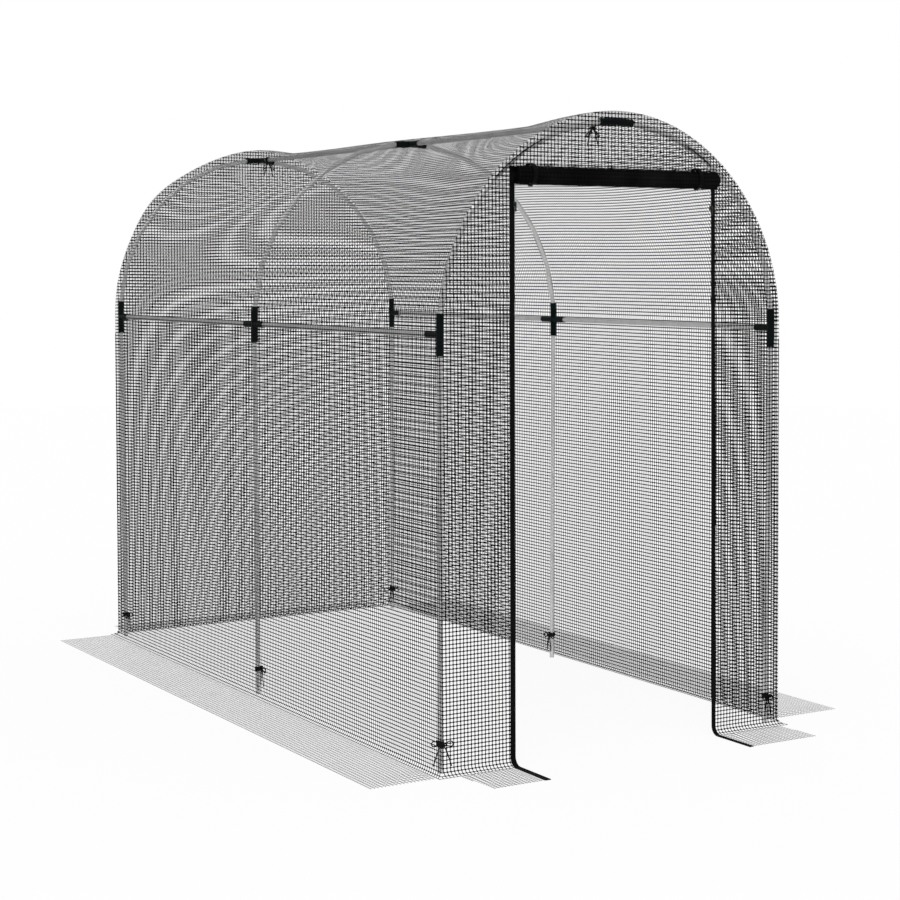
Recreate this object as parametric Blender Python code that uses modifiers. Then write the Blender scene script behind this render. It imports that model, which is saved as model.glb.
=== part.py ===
"""Walk-in fruit cage: three tube arches in plastic connectors, a net cover and a rolled-up door.

Metres, +Z up. The door side faces -Y and +X is to the right as seen from it. The origin is on the
ground, in the middle of the six legs.
"""

import math

import bmesh
import bpy
from mathutils import Matrix, Vector

# Tube frame
cage_width = 1.200
cage_length = 2.420
tee_height = 1.253
spring_rise = 0.0135
tube_radius = 0.008
tube_wall = 0.001
fit_gap = 0.0003
overrun = 0.001

# Plastic connectors
sleeve_wall = 0.0027
sleeve_arm = 0.0595
rail_arm = 0.070
ridge_arm = 0.058
arm_radius = 0.0105
stop_thickness = 0.005
seat_wall = 0.001

# Net cover
net_thickness = 0.002
net_pitch = 0.27
strand_width = 0.014
hem_width = 0.018
side_offset = 0.0145
crown_lift = 0.0175
lift_run = 0.36
bay_dip = 0.018
base_out_left = 0.002
base_out_right = 0.004
base_out_end = 0.026
roof_rows = 6
roof_columns = 9
roof_substeps = 3

# Skirts that lie on the ground, and how far each ends past the legs or short of them
skirt_left_width = 0.236
skirt_right_width = 0.262
skirt_end_width = 0.182
skirt_curl = 0.004
skirt_left_past = 0.052
skirt_right_short = 0.022
skirt_side_past = 0.042
skirt_back_short = 0.035
skirt_corner_short = 0.027
skirt_corner_past = 0.010

# Doorway: the strips of net beside it, how far it sits off the middle, the height of its head in
# the arch, and the zip tapes
door_strip_top = 0.239
door_strip_bottom = 0.231
door_shift = -0.008
header_share = 0.7225
header_lap = 0.010
tape_width = 0.015
tape_thickness = 0.0025
tape_bend_radius = 0.027

# Rolled door and its two straps
roll_radius = 0.0285
roll_core = 0.005
roll_band = 0.0022
roll_turns = 5
roll_past_left = 0.013
roll_short_right = 0.004
strap_thickness = 0.002
strap_width = 0.014
strap_inset_left = 0.041
strap_inset_right = 0.088
toggle_height = 0.006
toggle_width_share = 0.16

# Zip slider and its pull
slider_width = 0.010
slider_depth = 0.0056
slider_height = 0.014
slider_park_drop = 0.080
post_length = 0.0042
post_width = 0.0012
post_height = 0.0024
bar_radius = 0.0008
pull_length = 0.022
pull_width = 0.0046
pull_thickness = 0.0016
eye_radius = 0.0021

# Tie cords
cord_radius = 0.0015
tie_height = 0.087
knot_radius = 0.0045
knot_reach = 0.003
loop_length = 0.031
loop_width = 0.013
loop_droop = 0.006
short_loop_length = 0.0145
tail_length = 0.062
tail_spread = 0.012
ridge_tie_front_gap = 0.115
ridge_tie_back_gap = 0.077
ridge_loop_spread = 0.021
ridge_loop_length = 0.030
ridge_tail_length = 0.070

# Counts that shape the meshes
tube_resolution = 4
cord_resolution = 1
arch_steps = 6
arm_steps = 2
bend_steps = 6
roll_points = 16
ring_points = 8
loop_points = 6
tail_points = 3
strap_points = 28

arch_radius = cage_width / 2
half_length = cage_length / 2
spring_height = tee_height + spring_rise
ridge_height = spring_height + arch_radius
header_height = spring_height + arch_radius * header_share
door_half_top = arch_radius - door_strip_top
door_half_bottom = arch_radius - door_strip_bottom
socket_radius = tube_radius + fit_gap
sleeve_radius = socket_radius + sleeve_wall
rail_seat = sleeve_radius + seat_wall
tee_arm_angle = (sleeve_arm - (spring_height - tee_height)) / arch_radius
crown_arm_angle = sleeve_arm / arch_radius
half_net = net_thickness / 2
ridge_offset = sleeve_radius + fit_gap + half_net
tape_top = header_height + roll_radius
roll_distance = strap_thickness + fit_gap + roll_radius
ring_radius = tube_radius + fit_gap + cord_radius

SIDES = {"left": -1, "right": 1}
STATIONS = {"front": -half_length, "middle": 0.0, "back": half_length}


def clear_scene():
    for obj in list(bpy.data.objects):
        bpy.data.objects.remove(obj, do_unlink=True)


def collection(name):
    made = bpy.data.collections.new(name)
    bpy.context.scene.collection.children.link(made)
    return made


def material(name, colour, roughness, metallic=0.0):
    made = bpy.data.materials.new(name)
    made.use_nodes = True
    shader = made.node_tree.nodes["Principled BSDF"]
    shader.inputs["Base Color"].default_value = (*colour, 1.0)
    shader.inputs["Roughness"].default_value = roughness
    shader.inputs["Metallic"].default_value = metallic
    return made


clear_scene()
parts = collection("fruit_cage")
cutters = collection("fruit_cage_cutters")
steel = material("galvanised_tube", (0.56, 0.57, 0.57), 0.42, 0.85)
plastic = material("connector_plastic", (0.012, 0.026, 0.020), 0.45)
netting = material("black_net", (0.018, 0.018, 0.019), 0.75)
webbing = material("zip_tape", (0.010, 0.010, 0.011), 0.70)
rolled = material("rolled_net", (0.012, 0.012, 0.013), 0.85)
cord = material("tie_cord", (0.008, 0.008, 0.008), 0.80)
black_metal = material("zip_metal", (0.020, 0.020, 0.021), 0.35, 0.60)


# Building blocks


def add_object(name, mesh, finish):
    obj = bpy.data.objects.new(name, mesh)
    parts.objects.link(obj)
    mesh.materials.clear()
    mesh.materials.append(finish)
    return obj


def helper_object(name, mesh):
    obj = bpy.data.objects.new(name, mesh)
    obj.hide_render = True
    obj.display_type = "WIRE"
    cutters.objects.link(obj)
    return obj


def evaluated_mesh(obj):
    bpy.context.view_layer.update()
    graph = bpy.context.evaluated_depsgraph_get()
    return bpy.data.meshes.new_from_object(obj.evaluated_get(graph))


def curve_mesh(name, curve):
    """The closed or open mesh that a curve makes, with its loose caps welded."""
    guide = helper_object(name + "_guide", curve)
    mesh = evaluated_mesh(guide)
    bpy.data.objects.remove(guide, do_unlink=True)
    shape = bmesh.new()
    shape.from_mesh(mesh)
    bmesh.ops.remove_doubles(shape, verts=shape.verts, dist=fit_gap / 100)
    bmesh.ops.recalc_face_normals(shape, faces=shape.faces)
    shape.to_mesh(mesh)
    shape.free()
    return mesh


def tube_curve(name, points, radius, resolution, closed=False, capped=True):
    curve = bpy.data.curves.new(name, "CURVE")
    curve.dimensions = "3D"
    curve.bevel_depth = radius
    curve.bevel_resolution = resolution
    curve.use_fill_caps = capped and not closed
    spline = curve.splines.new("POLY")
    spline.points.add(len(points) - 1)
    for slot, point in zip(spline.points, points):
        slot.co = (*point, 1.0)
    spline.use_cyclic_u = closed
    return curve


def tube_mesh(name, points, radius, resolution=tube_resolution, closed=False, capped=True):
    return curve_mesh(name, tube_curve(name, points, radius, resolution, closed, capped))


def outline_mesh(name, outlines, thickness):
    """A flat plate from closed outlines in XY, holes included, half its thickness each way in Z."""
    curve = bpy.data.curves.new(name, "CURVE")
    curve.dimensions = "2D"
    curve.fill_mode = "BOTH"
    curve.extrude = thickness / 2
    for outline in outlines:
        spline = curve.splines.new("POLY")
        spline.points.add(len(outline) - 1)
        for slot, (x, y) in zip(spline.points, outline):
            slot.co = (x, y, 0.0, 1.0)
        spline.use_cyclic_u = True
    return curve_mesh(name, curve)


def move_vertices(mesh, place):
    """Carries each vertex to where place puts it, and turns the faces out again."""
    for vertex in mesh.vertices:
        vertex.co = place(*vertex.co)
    shape = bmesh.new()
    shape.from_mesh(mesh)
    bmesh.ops.recalc_face_normals(shape, faces=shape.faces)
    shape.to_mesh(mesh)
    shape.free()
    return mesh


def box_mesh(name, low, high):
    shape = bmesh.new()
    bmesh.ops.create_cube(shape, size=1)
    size = Vector(high) - Vector(low)
    middle = (Vector(high) + Vector(low)) / 2
    bmesh.ops.transform(
        shape, matrix=Matrix.Translation(middle) @ Matrix.Diagonal((*size, 1.0)), verts=shape.verts
    )
    mesh = bpy.data.meshes.new(name)
    shape.to_mesh(mesh)
    shape.free()
    return mesh


def combine(obj, meshes, operation):
    """Joins the meshes to obj, or cuts them from it, and keeps the result as its plain mesh."""
    helpers = []
    for number, mesh in enumerate(meshes):
        helper = helper_object(f"{obj.name}_{operation.lower()}_{number}", mesh)
        modifier = obj.modifiers.new(operation.title(), "BOOLEAN")
        modifier.operation = operation
        modifier.solver = "EXACT"
        modifier.object = helper
        helpers.append(helper)
    mesh = evaluated_mesh(obj)
    obj.modifiers.clear()
    obj.data = mesh
    for helper in helpers:
        bpy.data.objects.remove(helper, do_unlink=True)
    return obj


def smooth(obj, degrees=40):
    obj.data.shade_smooth()
    obj.data.set_sharp_from_angle(angle=math.radians(degrees))


def extended(points):
    """The same path with its last point carried on past the mouth of a socket."""
    last, before = Vector(points[-1]), Vector(points[-2])
    return list(points[:-1]) + [last + (last - before).normalized() * overrun]


# Tubes


def arch_point(side, y, angle):
    """A point on the arch, by its angle above the height where the tube starts to bend."""
    across = arch_radius * math.cos(angle)
    return Vector((side * across, y, spring_height + arch_radius * math.sin(angle)))


def tee_arm_path(side, y, start):
    """Up the upper arm of a side connector, from start above its centre."""
    points = [Vector((side * arch_radius, y, tee_height + start))]
    return points + [arch_point(side, y, tee_arm_angle * k / arm_steps) for k in range(arm_steps + 1)]


def crown_arm_path(side, y, start):
    """Down one arm of a ridge connector, from start beside its centre."""
    angles = [start / arch_radius] + [crown_arm_angle * k / arm_steps for k in range(1, arm_steps + 1)]
    return [arch_point(side, y, math.pi / 2 - angle) for angle in angles]


def arch_path(side, y):
    start = stop_thickness / 2 + fit_gap
    points = tee_arm_path(side, y, start)
    span = math.pi / 2 - crown_arm_angle - tee_arm_angle
    for step in range(1, arch_steps):
        points.append(arch_point(side, y, tee_arm_angle + span * step / arch_steps))
    return points + crown_arm_path(side, y, start)[::-1]


def pipe(name, points):
    obj = add_object(name, tube_mesh(name, points, tube_radius, capped=False), steel)
    wall = obj.modifiers.new("Wall", "SOLIDIFY")
    wall.thickness = tube_wall
    wall.offset = -1
    wall.use_even_offset = True
    smooth(obj)
    return obj


def build_tubes():
    leg_top = tee_height - stop_thickness / 2 - fit_gap
    for station, y in STATIONS.items():
        for word, side in SIDES.items():
            x = side * arch_radius
            pipe(f"leg_{station}_{word}", [(x, y, 0.0), (x, y, leg_top)])
            pipe(f"arch_{station}_{word}", arch_path(side, y))
    inner = rail_seat + fit_gap
    outer = half_length - inner
    for end, sign in (("front", -1), ("back", 1)):
        for word, side in SIDES.items():
            x = side * arch_radius
            pipe(
                f"side_rail_{word}_{end}",
                [(x, sign * inner, tee_height), (x, sign * outer, tee_height)],
            )
        pipe(f"ridge_rail_{end}", [(0.0, sign * inner, ridge_height), (0.0, sign * outer, ridge_height)])


# Connectors


def side_connector(name, side, y, rails):
    """A tee or a cross on a leg: a sleeve up the frame, and an arm for each rail."""
    x = side * arch_radius
    foot = Vector((x, y, tee_height - sleeve_arm))
    centre = Vector((x, y, tee_height))
    above = tee_arm_path(side, y, stop_thickness / 2)
    obj = add_object(name, tube_mesh(name, [foot, centre] + above[1:], sleeve_radius), plastic)
    arms = []
    bores = [
        [centre - Vector((0.0, 0.0, stop_thickness / 2)), foot],
        above,
    ]
    for rail in rails:
        along = Vector((0.0, rail, 0.0))
        arms.append(tube_mesh(name, [centre, centre + along * rail_arm], arm_radius))
        bores.append([centre + along * rail_seat, centre + along * rail_arm])
    combine(obj, arms, "UNION")
    combine(obj, [tube_mesh(name, extended(path), socket_radius) for path in bores], "DIFFERENCE")
    smooth(obj)


def ridge_connector(name, y, rails):
    """The same on the crown of an arch, bent with the arch, with an arm for each ridge rail."""
    left = crown_arm_path(-1, y, 0.0)
    right = crown_arm_path(1, y, 0.0)
    obj = add_object(name, tube_mesh(name, left[::-1] + right[1:], sleeve_radius), plastic)
    centre = Vector((0.0, y, ridge_height))
    arms = []
    bores = [crown_arm_path(side, y, stop_thickness / 2) for side in SIDES.values()]
    for rail in rails:
        along = Vector((0.0, rail, 0.0))
        arms.append(tube_mesh(name, [centre, centre + along * ridge_arm], arm_radius))
        bores.append([centre + along * rail_seat, centre + along * ridge_arm])
    combine(obj, arms, "UNION")
    combine(obj, [tube_mesh(name, extended(path), socket_radius) for path in bores], "DIFFERENCE")
    smooth(obj)


def build_connectors():
    rails_at = {"front": (1,), "middle": (-1, 1), "back": (-1,)}
    for station, y in STATIONS.items():
        kind = "cross" if station == "middle" else "tee"
        for word, side in SIDES.items():
            side_connector(f"{kind}_{station}_{word}", side, y, rails_at[station])
        ridge_connector(f"ridge_{kind}_{station}", y, rails_at[station])


# Where the net lies


def eased(share):
    share = min(1.0, max(0.0, share))
    return share * share * (3 - 2 * share)


def end_distance(z):
    """How far the front or back net stands from the middle of the cage, at this height."""
    return half_length + side_offset + base_out_end * max(0.0, 1 - z / tape_top)


def side_distance(side, z):
    out = base_out_left if side < 0 else base_out_right
    return arch_radius + side_offset + out * max(0.0, 1 - z / tee_height)


def roof_radius(angle, y):
    """How far the roof net lies from the arch's centre: on the ridge, lifted at the ends, drawn in."""
    rise = math.sin(angle)
    offset = side_offset + (ridge_offset - side_offset) * rise * rise
    near_end = eased((abs(y) - (half_length - lift_run)) / lift_run)
    lift = crown_lift * near_end * rise**4
    bay = math.sin(math.pi * min(1.0, abs(y) / half_length))
    dip = bay_dip * bay * bay * abs(math.sin(2 * angle))
    return arch_radius + offset + lift - dip


def roof_angles():
    """The angles where the roof mesh has a row: both edges of each strand and steps across a gap."""
    hem = hem_width / arch_radius
    strand = strand_width / arch_radius
    step = (math.pi - 2 * hem + strand) / roof_rows
    angles = [0.0]
    for row in range(roof_rows):
        start = hem + row * step
        gap = step - strand
        angles += [start + gap * k / roof_substeps for k in range(roof_substeps + 1)]
    return angles + [math.pi]


def arch_edge_point(angle):
    """Where an end net stops under the roof net, as across and height."""
    radius = roof_radius(angle, half_length) - half_net - fit_gap
    return radius * math.cos(angle), spring_height + radius * math.sin(angle)


def arch_edge():
    """The right half of that edge, up to the crown."""
    return [arch_edge_point(angle) for angle in roof_angles() if angle < math.pi / 2]


def arch_half_width(z):
    """Half the width of an end net at a height above the spring of the arch."""
    points = arch_edge()
    for (near, low), (far, high) in zip(points, points[1:]):
        if z <= high:
            return near + (far - near) * (z - low) / (high - low)
    return points[-1][0]


def end_edge(side, z):
    """The outer edge of an end net, on the left or the right."""
    if z > spring_height:
        return side * arch_half_width(z)
    return side * (side_distance(side, z) - half_net - fit_gap)


def door_edge(side, z, past=0.0):
    """How far across the zip line is on one side, or a point that lies past it, off the doorway."""
    half = door_half_bottom + (door_half_top - door_half_bottom) * z / tape_top
    return door_shift + side * (half + past)


# Nets


def spread(low, high, hem, count):
    """Count gaps between low and high, with a hem at both ends and a strand between two gaps."""
    step = (high - low - 2 * hem + strand_width) / count
    return [(low + hem + k * step, low + hem + (k + 1) * step - strand_width) for k in range(count)]


def gap_outline(low, high, left, right, near, far):
    """One gap, kept a hem away from the net's own edges, or None where too little is left of it."""

    def sides(z):
        return max(near, left(z) + hem_width), min(far, right(z) - hem_width)

    step = (high - low) / 8
    while high > low and sides(high)[1] - sides(high)[0] < hem_width:
        high -= step
    if high - low < hem_width or sides(low)[1] - sides(low)[0] < hem_width:
        return None
    straight = high < tee_height or sides(low) == (near, far) == sides(high)
    heights = [low, high] if straight else [low + (high - low) * k / 3 for k in range(4)]
    return [(sides(z)[0], z) for z in heights] + [(sides(z)[1], z) for z in reversed(heights)]


def flat_net(name, outline, heights, widths, left, right, place):
    """A net cut to an outline, with straight rows and columns of gaps, then carried to its place."""
    rows = max(1, round((heights[1] - heights[0]) / net_pitch))
    columns = max(1, round((widths[1] - widths[0]) / net_pitch))
    outlines = [outline]
    for low, high in spread(*heights, hem_width, rows):
        for near, far in spread(*widths, hem_width, columns):
            gap = gap_outline(low, high, left, right, near, far)
            if gap:
                outlines.append(gap)
    mesh = move_vertices(outline_mesh(name, outlines, net_thickness), place)
    return add_object(name, mesh, netting)


def corner_way():
    """From the front left leg to the net's corner there, at the height of its tie."""
    across = side_distance(-1, tie_height) + half_net - arch_radius
    forward = end_distance(tie_height) + half_net - half_length
    return Vector((-across, -forward, 0.0))


def tie_notch(edge, depth):
    """Going up a net's edge, the notch that lets the cord of the corner bow out between two nets."""
    half = cord_radius + fit_gap
    low, high = tie_height - half, tie_height + half
    return [(edge(low), low), (edge(low) + depth, low), (edge(high) + depth, high), (edge(high), high)]


def side_notch_depth():
    way = corner_way()
    slant = net_thickness * way.y / way.x
    return slant + (cord_radius + fit_gap) * way.length / abs(way.x)


def front_notch_depth():
    way = corner_way()
    slant = net_thickness * way.x / way.y
    depth = slant + (cord_radius + fit_gap) * way.length / abs(way.y)
    return max(fit_gap, depth - net_thickness - fit_gap)


def build_side_nets():
    top = spring_height - fit_gap
    reach = end_distance(0.0) + half_net

    def front_edge(z):
        return -end_distance(z) - half_net

    for word, side in SIDES.items():
        levels = [0.0, tee_height, top]
        front = [(front_edge(z), z) for z in levels]
        if word == "left":
            front[1:1] = tie_notch(front_edge, side_notch_depth())
        outline = [(end_distance(z) + half_net, z) for z in levels] + front[::-1]
        flat_net(
            f"side_net_{word}",
            outline,
            (0.0, top),
            (-reach, reach),
            front_edge,
            lambda z: end_distance(z) + half_net,
            lambda y, z, d, side=side: Vector((side * (side_distance(side, z) + d), y, z)),
        )


def end_place(sign):
    return lambda x, z, d: Vector((x, sign * (end_distance(z) + d), z))


def build_back_net():
    levels = [0.0, tee_height]
    outline = [(end_edge(1, z), z) for z in levels]
    outline += [arch_edge_point(angle) for angle in roof_angles()]
    outline += [(end_edge(-1, z), z) for z in reversed(levels)]
    flat_net(
        "back_net",
        outline,
        (0.0, arch_edge()[-1][1]),
        (end_edge(-1, 0.0), end_edge(1, 0.0)),
        lambda z: end_edge(-1, z),
        lambda z: end_edge(1, z),
        end_place(1),
    )


def build_front_nets():
    for word, side in SIDES.items():
        levels = [0.0, tee_height]
        outer = [(end_edge(side, z), z) for z in levels]
        if word == "left":
            outer[1:1] = tie_notch(lambda z: end_edge(-1, z), front_notch_depth())
        outer += [(side * across, z) for across, z in arch_edge() if z < tape_top]
        outer.append((end_edge(side, tape_top), tape_top))

        def inner(z, side=side):
            return door_edge(side, z, tape_width / 2 + fit_gap)

        outline = outer + [(inner(tape_top), tape_top), (inner(0.0), 0.0)]
        edges = sorted((inner(tape_top), end_edge(side, 0.0)))
        flat_net(
            f"front_net_{word}",
            outline,
            (0.0, tape_top),
            edges,
            lambda z, side=side: min(inner(z), end_edge(side, z)),
            lambda z, side=side: max(inner(z), end_edge(side, z)),
            end_place(-1),
        )
    low = header_height - header_lap
    step = tape_top + fit_gap
    inside = -tape_width / 2 - fit_gap
    arch = [(arch_half_width(step), step)] + [point for point in arch_edge() if point[1] > step]
    outline = [(door_edge(1, z, inside), z) for z in (low, step)] + arch
    outline += [(-across, z) for across, z in reversed(arch)]
    outline += [(door_edge(-1, z, inside), z) for z in (step, low)]
    flat_net(
        "front_net_top",
        outline,
        (step, arch_edge()[-1][1]),
        (-arch_half_width(step), arch_half_width(step)),
        lambda z: -arch_half_width(z),
        lambda z: arch_half_width(z),
        end_place(-1),
    )


def build_roof_net():
    """Half a barrel of net over the arches, as a grid of strands with the gaps left out."""
    angles = roof_angles()
    reach = half_length + side_offset + half_net
    stations = [-reach]
    for low, high in spread(-reach, reach, hem_width, roof_columns):
        stations += [low, high]
    stations.append(reach)
    shape = bmesh.new()
    rows = []
    for angle in angles:
        row = []
        for y in stations:
            radius = roof_radius(angle, y)
            z = spring_height + radius * math.sin(angle)
            stretched = y * (end_distance(z) + half_net) / reach
            row.append(shape.verts.new((radius * math.cos(angle), stretched, z)))
        rows.append(row)
    for k in range(len(angles) - 1):
        on_strand = k % (roof_substeps + 1) == 0
        for j in range(len(stations) - 1):
            if on_strand or j % 2 == 0:
                shape.faces.new((rows[k][j], rows[k + 1][j], rows[k + 1][j + 1], rows[k][j + 1]))
    bmesh.ops.recalc_face_normals(shape, faces=shape.faces)
    mesh = bpy.data.meshes.new("roof_net")
    shape.to_mesh(mesh)
    shape.free()
    obj = add_object("roof_net", mesh, netting)
    wall = obj.modifiers.new("Thickness", "SOLIDIFY")
    wall.thickness = net_thickness
    wall.offset = 0
    return obj


def skirt(name, ends, width, place):
    """A strip of net on the ground, its free edge curled up a little."""
    outline = [(ends[0], 0.0), (ends[1], 0.0), (ends[1], width), (ends[0], width)]

    def lie(along, out, d):
        lift = skirt_curl * (out / width) ** 2
        return place(along, out, half_net + lift + d)

    flat_net(name, outline, (0.0, width), ends, lambda z: ends[0], lambda z: ends[1], lie)


def build_skirts():
    edge = half_net + fit_gap
    for word, side, past, width in (
        ("left", -1, skirt_left_past, skirt_left_width),
        ("right", 1, -skirt_right_short, skirt_right_width),
    ):
        start = side_distance(side, 0.0) + edge
        skirt(
            f"skirt_{word}",
            (-half_length - past, half_length + skirt_side_past),
            width,
            lambda y, out, z, side=side, start=start: Vector((side * (start + out), y, z)),
        )
    start = end_distance(0.0) + edge
    left, right = (door_edge(side, 0.0, tape_width / 2 + fit_gap) for side in SIDES.values())
    back_half = arch_radius - skirt_back_short
    for name, ends, sign in (
        ("skirt_back", (-back_half, back_half), 1),
        ("skirt_front_left", (skirt_corner_short - arch_radius, left), -1),
        ("skirt_front_right", (right, arch_radius + skirt_corner_past), -1),
    ):
        skirt(
            name,
            ends,
            skirt_end_width,
            lambda x, out, z, sign=sign: Vector((x, sign * (start + out), z)),
        )


# Doorway


def tape_line(offset):
    """The tape's side view, forward and height, at an offset in front of its middle line."""
    radius = tape_bend_radius
    low = tape_thickness / 2
    points = [(offset, tape_top), (offset, low + radius)]
    turn = radius - offset
    for k in range(1, bend_steps + 1):
        angle = math.pi / 2 * k / bend_steps
        points.append((radius - turn * math.cos(angle), low + radius - turn * math.sin(angle)))
    points.append((half_net + fit_gap + skirt_end_width, low + offset))
    return points


def build_zip_tapes():
    half = tape_thickness / 2
    outline = tape_line(half) + tape_line(-half)[::-1]
    for word, side in SIDES.items():

        def place(forward, z, d, side=side):
            across = door_edge(side, min(z, tape_top))
            return Vector((across + d, -end_distance(z) - forward, z))

        name = f"zip_tape_{word}"
        mesh = move_vertices(outline_mesh(name, [outline], tape_width), place)
        add_object(name, mesh, webbing)


def tape_point(side, z):
    """The middle of the tape's doorway edge, which the slider runs on."""
    return Vector((door_edge(side, z, -tape_width / 2), -end_distance(z), z))


def tape_frame(side, z):
    """A frame on that edge: Z up the tape, X towards the right, -Y out of the cage."""
    up = (tape_point(side, tape_top) - tape_point(side, tape_bend_radius)).normalized()
    across = Vector((1.0, 0.0, 0.0))
    across = (across - up * across.dot(up)).normalized()
    inward = up.cross(across)
    frame = Matrix((across, inward, up)).transposed().to_4x4()
    frame.translation = tape_point(side, z)
    return frame


def hinge_reach():
    return slider_depth / 2 + post_length - bar_radius


def slider_mesh(name, side):
    """A block with a slot for the tape, two posts in front and a bar between them."""
    x, y, z = slider_width / 2, slider_depth / 2, slider_height / 2
    obj = add_object(name, box_mesh(name, (-x, -y, -z), (x, y, z)), black_metal)
    slot = tape_thickness / 2 + fit_gap
    mouth = sorted((-side * fit_gap, side * (x + overrun)))
    cut = box_mesh(name, (mouth[0], -slot, -z - overrun), (mouth[1], slot, z + overrun))
    combine(obj, [cut], "DIFFERENCE")
    inside = pull_width / 2 + fit_gap
    joined = []
    for word, sign in SIDES.items():
        ends = sorted((sign * inside, sign * (inside + post_width)))
        low = (ends[0], -y - post_length, -post_height / 2)
        joined.append(box_mesh(name + word, low, (ends[1], -y + overrun / 2, post_height / 2)))
    reach = -hinge_reach()
    bar = [(-inside - post_width / 2, reach, 0.0), (inside + post_width / 2, reach, 0.0)]
    joined.append(tube_mesh(name, bar, bar_radius))
    combine(obj, joined, "UNION")
    return obj


def pull_mesh(name):
    """A flat tab with an eye that goes round the slider's bar. Its origin is on the bar's axis."""
    half = pull_width / 2
    eye = tube_mesh(name, [(-half, 0.0, 0.0), (half, 0.0, 0.0)], eye_radius)
    obj = add_object(name, eye, black_metal)
    thick = pull_thickness / 2
    tab = box_mesh(name, (-half, -thick, -pull_length), (half, thick, 0.0))
    combine(obj, [tab], "UNION")
    bore = [(-half - overrun, 0.0, 0.0), (half + overrun, 0.0, 0.0)]
    combine(obj, [tube_mesh(name, bore, bar_radius + fit_gap)], "DIFFERENCE")
    return obj


def build_sliders():
    for word, side in SIDES.items():
        frame = tape_frame(side, header_height - slider_park_drop)
        slider = slider_mesh(f"zip_slider_{word}", side)
        slider.matrix_world = frame
        pull = pull_mesh(f"zip_pull_{word}")
        pull.matrix_world = frame @ Matrix.Translation((0.0, -hinge_reach(), 0.0))
        smooth(slider)
        smooth(pull)


def spiral_points(offset):
    outer = roll_radius - roll_band / 2
    steps = roll_turns * roll_points
    points = []
    for k in range(steps + 1):
        share = k / steps
        radius = roll_core + (outer - roll_core) * share + offset
        angle = 2 * math.pi * roll_turns * share
        points.append((radius * math.cos(angle), radius * math.sin(angle)))
    return points


def roll_centre():
    return -end_distance(header_height - header_lap) - half_net - fit_gap - roll_distance


def build_door_roll():
    """The door net wound up on itself, as one spiral band."""
    half = roll_band / 2
    inner, outer = spiral_points(-half), spiral_points(half)
    least = min(
        math.dist(inner[k + roll_points], outer[k]) for k in range(len(inner) - roll_points)
    )
    print(f"door_roll: least gap between turns {least * 1000:.2f} mm")
    left, right = door_edge(-1, tape_top, roll_past_left), door_edge(1, tape_top, -roll_short_right)
    length, middle = right - left, (left + right) / 2
    y, z = roll_centre(), header_height
    mesh = outline_mesh("door_roll", [outer + inner[::-1]], length)
    move_vertices(mesh, lambda a, b, d: Vector((middle + d, y + a, z + b)))
    add_object("door_roll", mesh, rolled)


def build_roll_straps():
    """A strap round the roll, with a toggle under it."""
    inside = roll_radius + fit_gap
    y, z = roll_centre(), header_height
    for word, x in (
        ("left", door_edge(-1, tape_top, -strap_inset_left)),
        ("right", door_edge(1, tape_top, -strap_inset_right)),
    ):
        inner, outer = [], []
        for k in range(strap_points):
            angle = 2 * math.pi * k / strap_points
            below = abs(angle - 3 * math.pi / 2) / (math.pi * toggle_width_share)
            radius = inside + strap_thickness + toggle_height * (1 - eased(below))
            inner.append((inside * math.cos(angle), inside * math.sin(angle)))
            outer.append((radius * math.cos(angle), radius * math.sin(angle)))
        name = f"roll_strap_{word}"
        mesh = outline_mesh(name, [outer, inner], strap_width)
        move_vertices(mesh, lambda a, b, d, x=x: Vector((x + d, y + a, z + b)))
        add_object(name, mesh, cord)


# Tie cords


def knot_mesh(name, centre, radius):
    shape = bmesh.new()
    bmesh.ops.create_uvsphere(
        shape, u_segments=8, v_segments=6, radius=radius, matrix=Matrix.Translation(centre)
    )
    mesh = bpy.data.meshes.new(name)
    shape.to_mesh(mesh)
    shape.free()
    return mesh


def tie(name, centre, axis, out, reach, bow, tail):
    """A cord round a tube, tied in a bow: a ring, a knot, two loops and two hanging ends."""
    centre, axis, out = Vector(centre), Vector(axis), Vector(out)
    across, down = axis.cross(out), Vector((0.0, 0.0, -1.0))
    knot = centre + out * reach
    obj = add_object(name, knot_mesh(name, knot, knot_radius), cord)
    joined = []
    ring = []
    for k in range(ring_points):
        angle = 2 * math.pi * (k + 0.5) / ring_points
        turned = out * math.cos(angle) + across * math.sin(angle)
        ring.append(centre + turned * ring_radius / math.cos(math.pi / ring_points))
    joined.append(tube_mesh(name, ring, cord_radius, cord_resolution, closed=True))
    if reach > ring_radius + knot_radius:
        joined.append(tube_mesh(name, [centre + out * ring_radius, knot], cord_radius, cord_resolution))
    for sign in SIDES.values():
        sideways, drop, width = bow
        along = across * sign * sideways + down * drop
        wide = along.normalized().cross(axis if out == down else out)
        points = []
        for k in range(loop_points):
            angle = 2 * math.pi * k / loop_points
            swing = wide * math.sin(angle) * width / 2
            points.append(knot + along * (1 - math.cos(angle)) / 2 + swing)
        joined.append(tube_mesh(name, points, cord_radius, cord_resolution, closed=True))
        points = []
        for k in range(tail_points + 1):
            share = k / tail_points
            points.append(knot + down * tail * share + across * sign * tail_spread * math.sqrt(share))
        joined.append(tube_mesh(name, points, cord_radius, cord_resolution))
    combine(obj, joined, "UNION")
    smooth(obj, 60)
    return obj


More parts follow.
